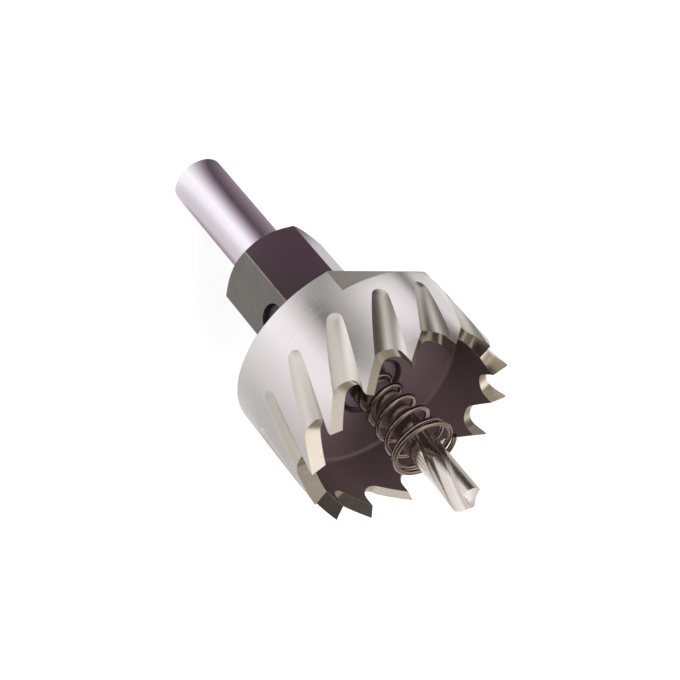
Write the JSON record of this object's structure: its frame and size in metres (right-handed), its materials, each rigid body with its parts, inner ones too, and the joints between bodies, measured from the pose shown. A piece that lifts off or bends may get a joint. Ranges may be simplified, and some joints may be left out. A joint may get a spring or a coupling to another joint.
{
  "type": "hole saw",
  "caption": "Toothed steel cup on a hexagonal arbor with a round shank, a pilot drill in a widening ejector spring and a set screw, for cutting round holes in sheet.",
  "frame": {"origin": "centre of the shank's end face, on the tool's axis", "axes": "+Z along the axis from the shank to the tip of the pilot drill; the set screw faces -Y"},
  "size_m": [0.04, 0.04, 0.0886],
  "materials": {
    "ground_steel": "bright milled and ground outside, dark inside",
    "arbor_steel": "satin ground shank, blackened hexagon",
    "drill_steel": "polished flutes",
    "black_steel": "blackened",
    "spring_steel": "drawn wire"
  },
  "bodies": {
    "root": {"cutter": "ground_steel", "arbor": "arbor_steel", "pilot_drill": "drill_steel", "pilot_set_screw": "black_steel", "ejector_spring": "spring_steel"}
  },
  "joints": []
}
